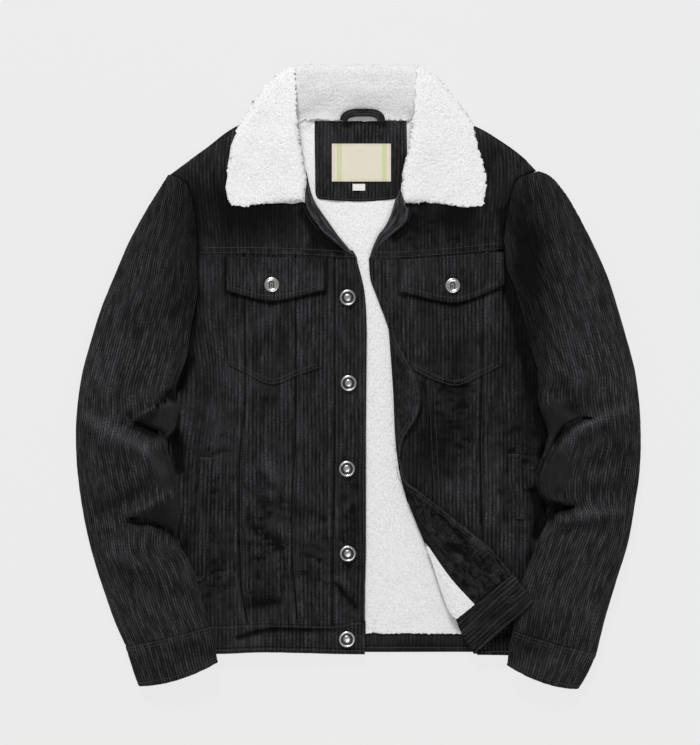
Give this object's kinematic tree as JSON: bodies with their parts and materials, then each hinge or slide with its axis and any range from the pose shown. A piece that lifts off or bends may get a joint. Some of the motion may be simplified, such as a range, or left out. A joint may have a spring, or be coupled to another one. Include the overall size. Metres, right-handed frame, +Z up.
{
  "type": "sherpa-lined corduroy jacket",
  "caption": "Button-front corduroy jacket with a sherpa lining and collar, laid open on its back with one lower front corner turned back.",
  "frame": {"origin": "centre of the bounding box on the surface that the jacket lies on, under its back", "axes": "+X to the wearer's left sleeve, which is the right of a viewer above, +Y from the hem to the collar, +Z up from the table"},
  "size_m": [0.6764, 0.75, 0.0523],
  "materials": {
    "corduroy": "black wide-wale cotton corduroy with a soft nap",
    "sherpa": "white curly sherpa pile",
    "label": "beige woven label",
    "metal": "old-silver pressed metal"
  },
  "bodies": {
    "root": {"back_panel": "corduroy", "waistband_back": "corduroy", "back_lining": "sherpa", "waistband_back_inside": "corduroy", "neck_patch": "corduroy", "neck_label": "label", "size_tab": "label", "neck_facing_left": "corduroy", "neck_facing_right": "corduroy", "front_left_side": "corduroy", "front_left_middle": "corduroy", "front_left_centre": "corduroy", "placket_left": "corduroy", "front_right_side": "corduroy", "front_right_middle": "corduroy", "front_right_centre": "corduroy", "yoke_left": "corduroy", "yoke_right": "corduroy", "waistband_left": "corduroy", "waistband_right": "corduroy", "facing_right_turned": "corduroy", "lining_right_turned": "sherpa", "waistband_right_turned": "corduroy", "collar_left": "sherpa", "collar_right": "sherpa", "collar_back_inside": "sherpa", "collar_back_fall": "sherpa", "hanger_loop": "corduroy", "sleeve_top_left": "corduroy", "sleeve_top_right": "corduroy", "sleeve_under_left": "corduroy", "sleeve_under_right": "corduroy", "cuff_left": "corduroy", "cuff_right": "corduroy", "pocket_left": "corduroy", "pocket_right": "corduroy", "flap_left": "corduroy", "flap_right": "corduroy", "welt_left": "corduroy", "welt_right": "corduroy", "button_front_1": "metal", "button_front_2": "metal", "button_front_3": "metal", "button_front_4": "metal", "button_front_5": "metal", "button_flap_left": "metal", "button_flap_right": "metal"}
  },
  "joints": []
}
